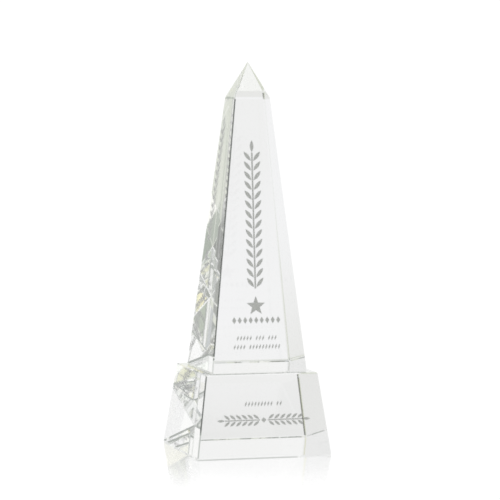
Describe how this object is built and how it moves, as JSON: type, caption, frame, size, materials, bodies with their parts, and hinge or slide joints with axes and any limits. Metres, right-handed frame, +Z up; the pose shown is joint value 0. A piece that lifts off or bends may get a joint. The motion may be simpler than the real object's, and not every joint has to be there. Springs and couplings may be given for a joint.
{
  "type": "crystal obelisk award",
  "caption": "Clear crystal obelisk trophy: a tapered square spire with a pyramid tip bonded to a tapered square base, with a carved ornament on the front.",
  "frame": {"origin": "middle of the base's underside, which is what the award stands on", "axes": "+Z up along the spire, -Y out of the carved front face, +X to the right of someone facing the front"},
  "size_m": [0.09, 0.09, 0.254],
  "materials": {
    "crystal": "polished optical crystal, almost colourless with a faint green tint in its depth, and a fine frosted finish inside the carved ornament",
    "adhesive": "clear cured adhesive film"
  },
  "bodies": {
    "root": {"base_block": "crystal", "bond_film": "adhesive", "obelisk_spire": "crystal"}
  },
  "joints": []
}
